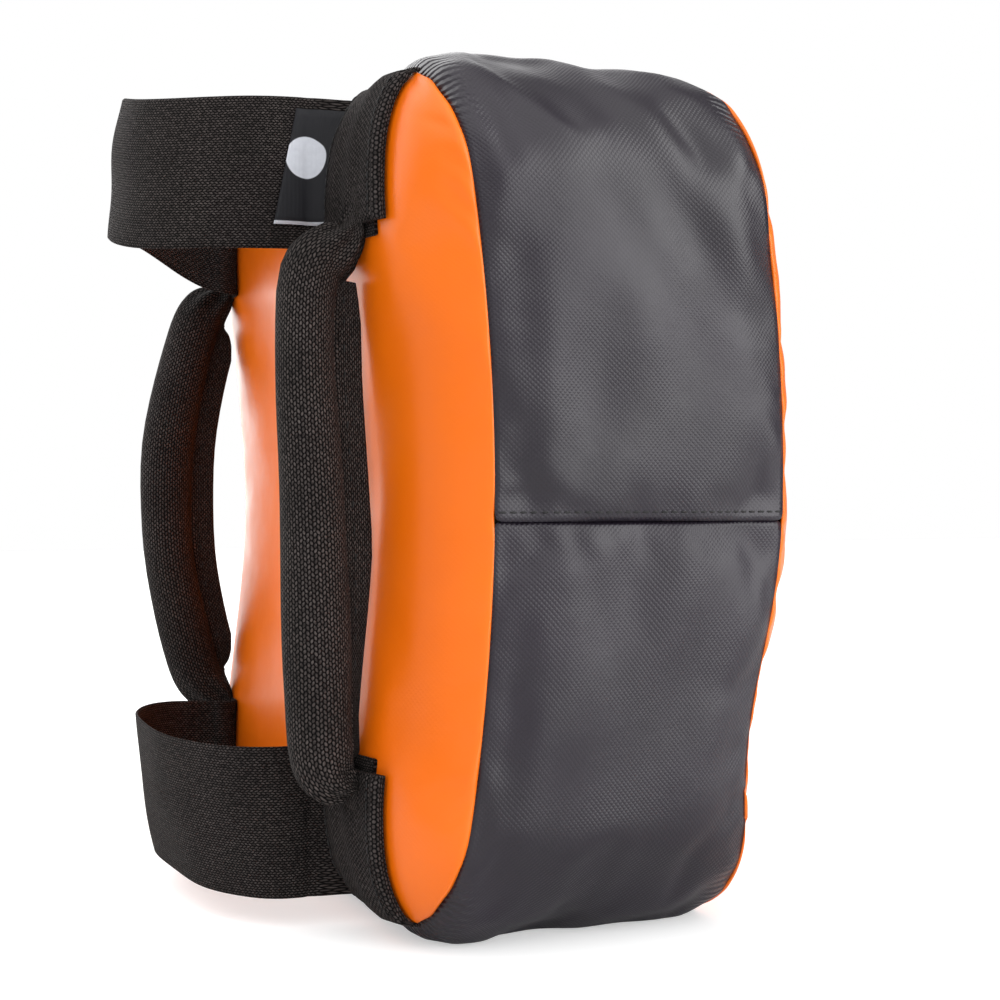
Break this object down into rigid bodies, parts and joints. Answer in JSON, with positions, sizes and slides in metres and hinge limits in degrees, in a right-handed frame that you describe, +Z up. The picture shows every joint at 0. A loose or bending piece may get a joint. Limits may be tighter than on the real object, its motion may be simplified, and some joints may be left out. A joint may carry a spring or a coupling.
{
  "type": "kick shield",
  "caption": "Curved padded kick shield with a stuffed strike face, elastic forearm straps and padded hand grips on its concave back.",
  "frame": {"origin": "middle of the flat lower end that the shield stands on", "axes": "+Z up along the shield's length, +Y out of the strike face, +X to the shield's side"},
  "size_m": [0.4024, 0.3401, 0.45],
  "materials": {
    "orange_vinyl": "semi-gloss coated vinyl with a fine scrim grain",
    "black_vinyl": "semi-gloss coated vinyl with a diagonal scrim emboss",
    "elastic": "matt woven elastic",
    "webbing": "matt coarse woven webbing",
    "thread": "twisted polyester thread",
    "strike_foam": "dense closed-cell foam",
    "soft_foam": "open-cell foam",
    "satin": "woven satin label"
  },
  "bodies": {
    "shield": {"strike_panel": "orange_vinyl", "back_panel": "orange_vinyl", "upper_side_band": "black_vinyl", "lower_side_band": "black_vinyl", "band_seam_stitching": "thread", "strike_foam": "strike_foam", "core_foam": "soft_foam", "back_foam": "soft_foam", "upper_strap_ends": "elastic", "lower_strap_ends": "elastic", "right_upper_anchor": "webbing", "right_lower_anchor": "webbing", "left_upper_anchor": "webbing", "left_lower_anchor": "webbing", "anchor_stitching": "thread"},
    "upper_strap": {"upper_forearm_strap": "elastic", "label": "satin"},
    "lower_strap": {"lower_forearm_strap": "elastic"},
    "right_grip": {"right_grip_sleeve": "webbing", "right_grip_foam": "soft_foam", "right_grip_stitching": "thread"},
    "left_grip": {"left_grip_sleeve": "webbing", "left_grip_foam": "soft_foam", "left_grip_stitching": "thread"}
  },
  "joints": [
    {"name": "upper_strap_lean", "type": "hinge", "parent": "shield", "child": "upper_strap", "pos_m": [0, -0.10886, 0.395], "axis": [1, 0, 0], "range_deg": [-8, 8], "stiffness_Nm_per_rad": 0.08},
    {"name": "lower_strap_lean", "type": "hinge", "parent": "shield", "child": "lower_strap", "pos_m": [0, -0.10886, 0.055], "axis": [1, 0, 0], "range_deg": [-8, 8], "stiffness_Nm_per_rad": 0.08},
    {"name": "right_grip_swing", "type": "hinge", "parent": "shield", "child": "right_grip", "pos_m": [0.13, -0.11386, 0.225], "axis": [0, 0, 1], "range_deg": [-40, 40], "stiffness_Nm_per_rad": 0.05},
    {"name": "left_grip_swing", "type": "hinge", "parent": "shield", "child": "left_grip", "pos_m": [-0.13, -0.11386, 0.225], "axis": [0, 0, 1], "range_deg": [-40, 40], "stiffness_Nm_per_rad": 0.05}
  ]
}
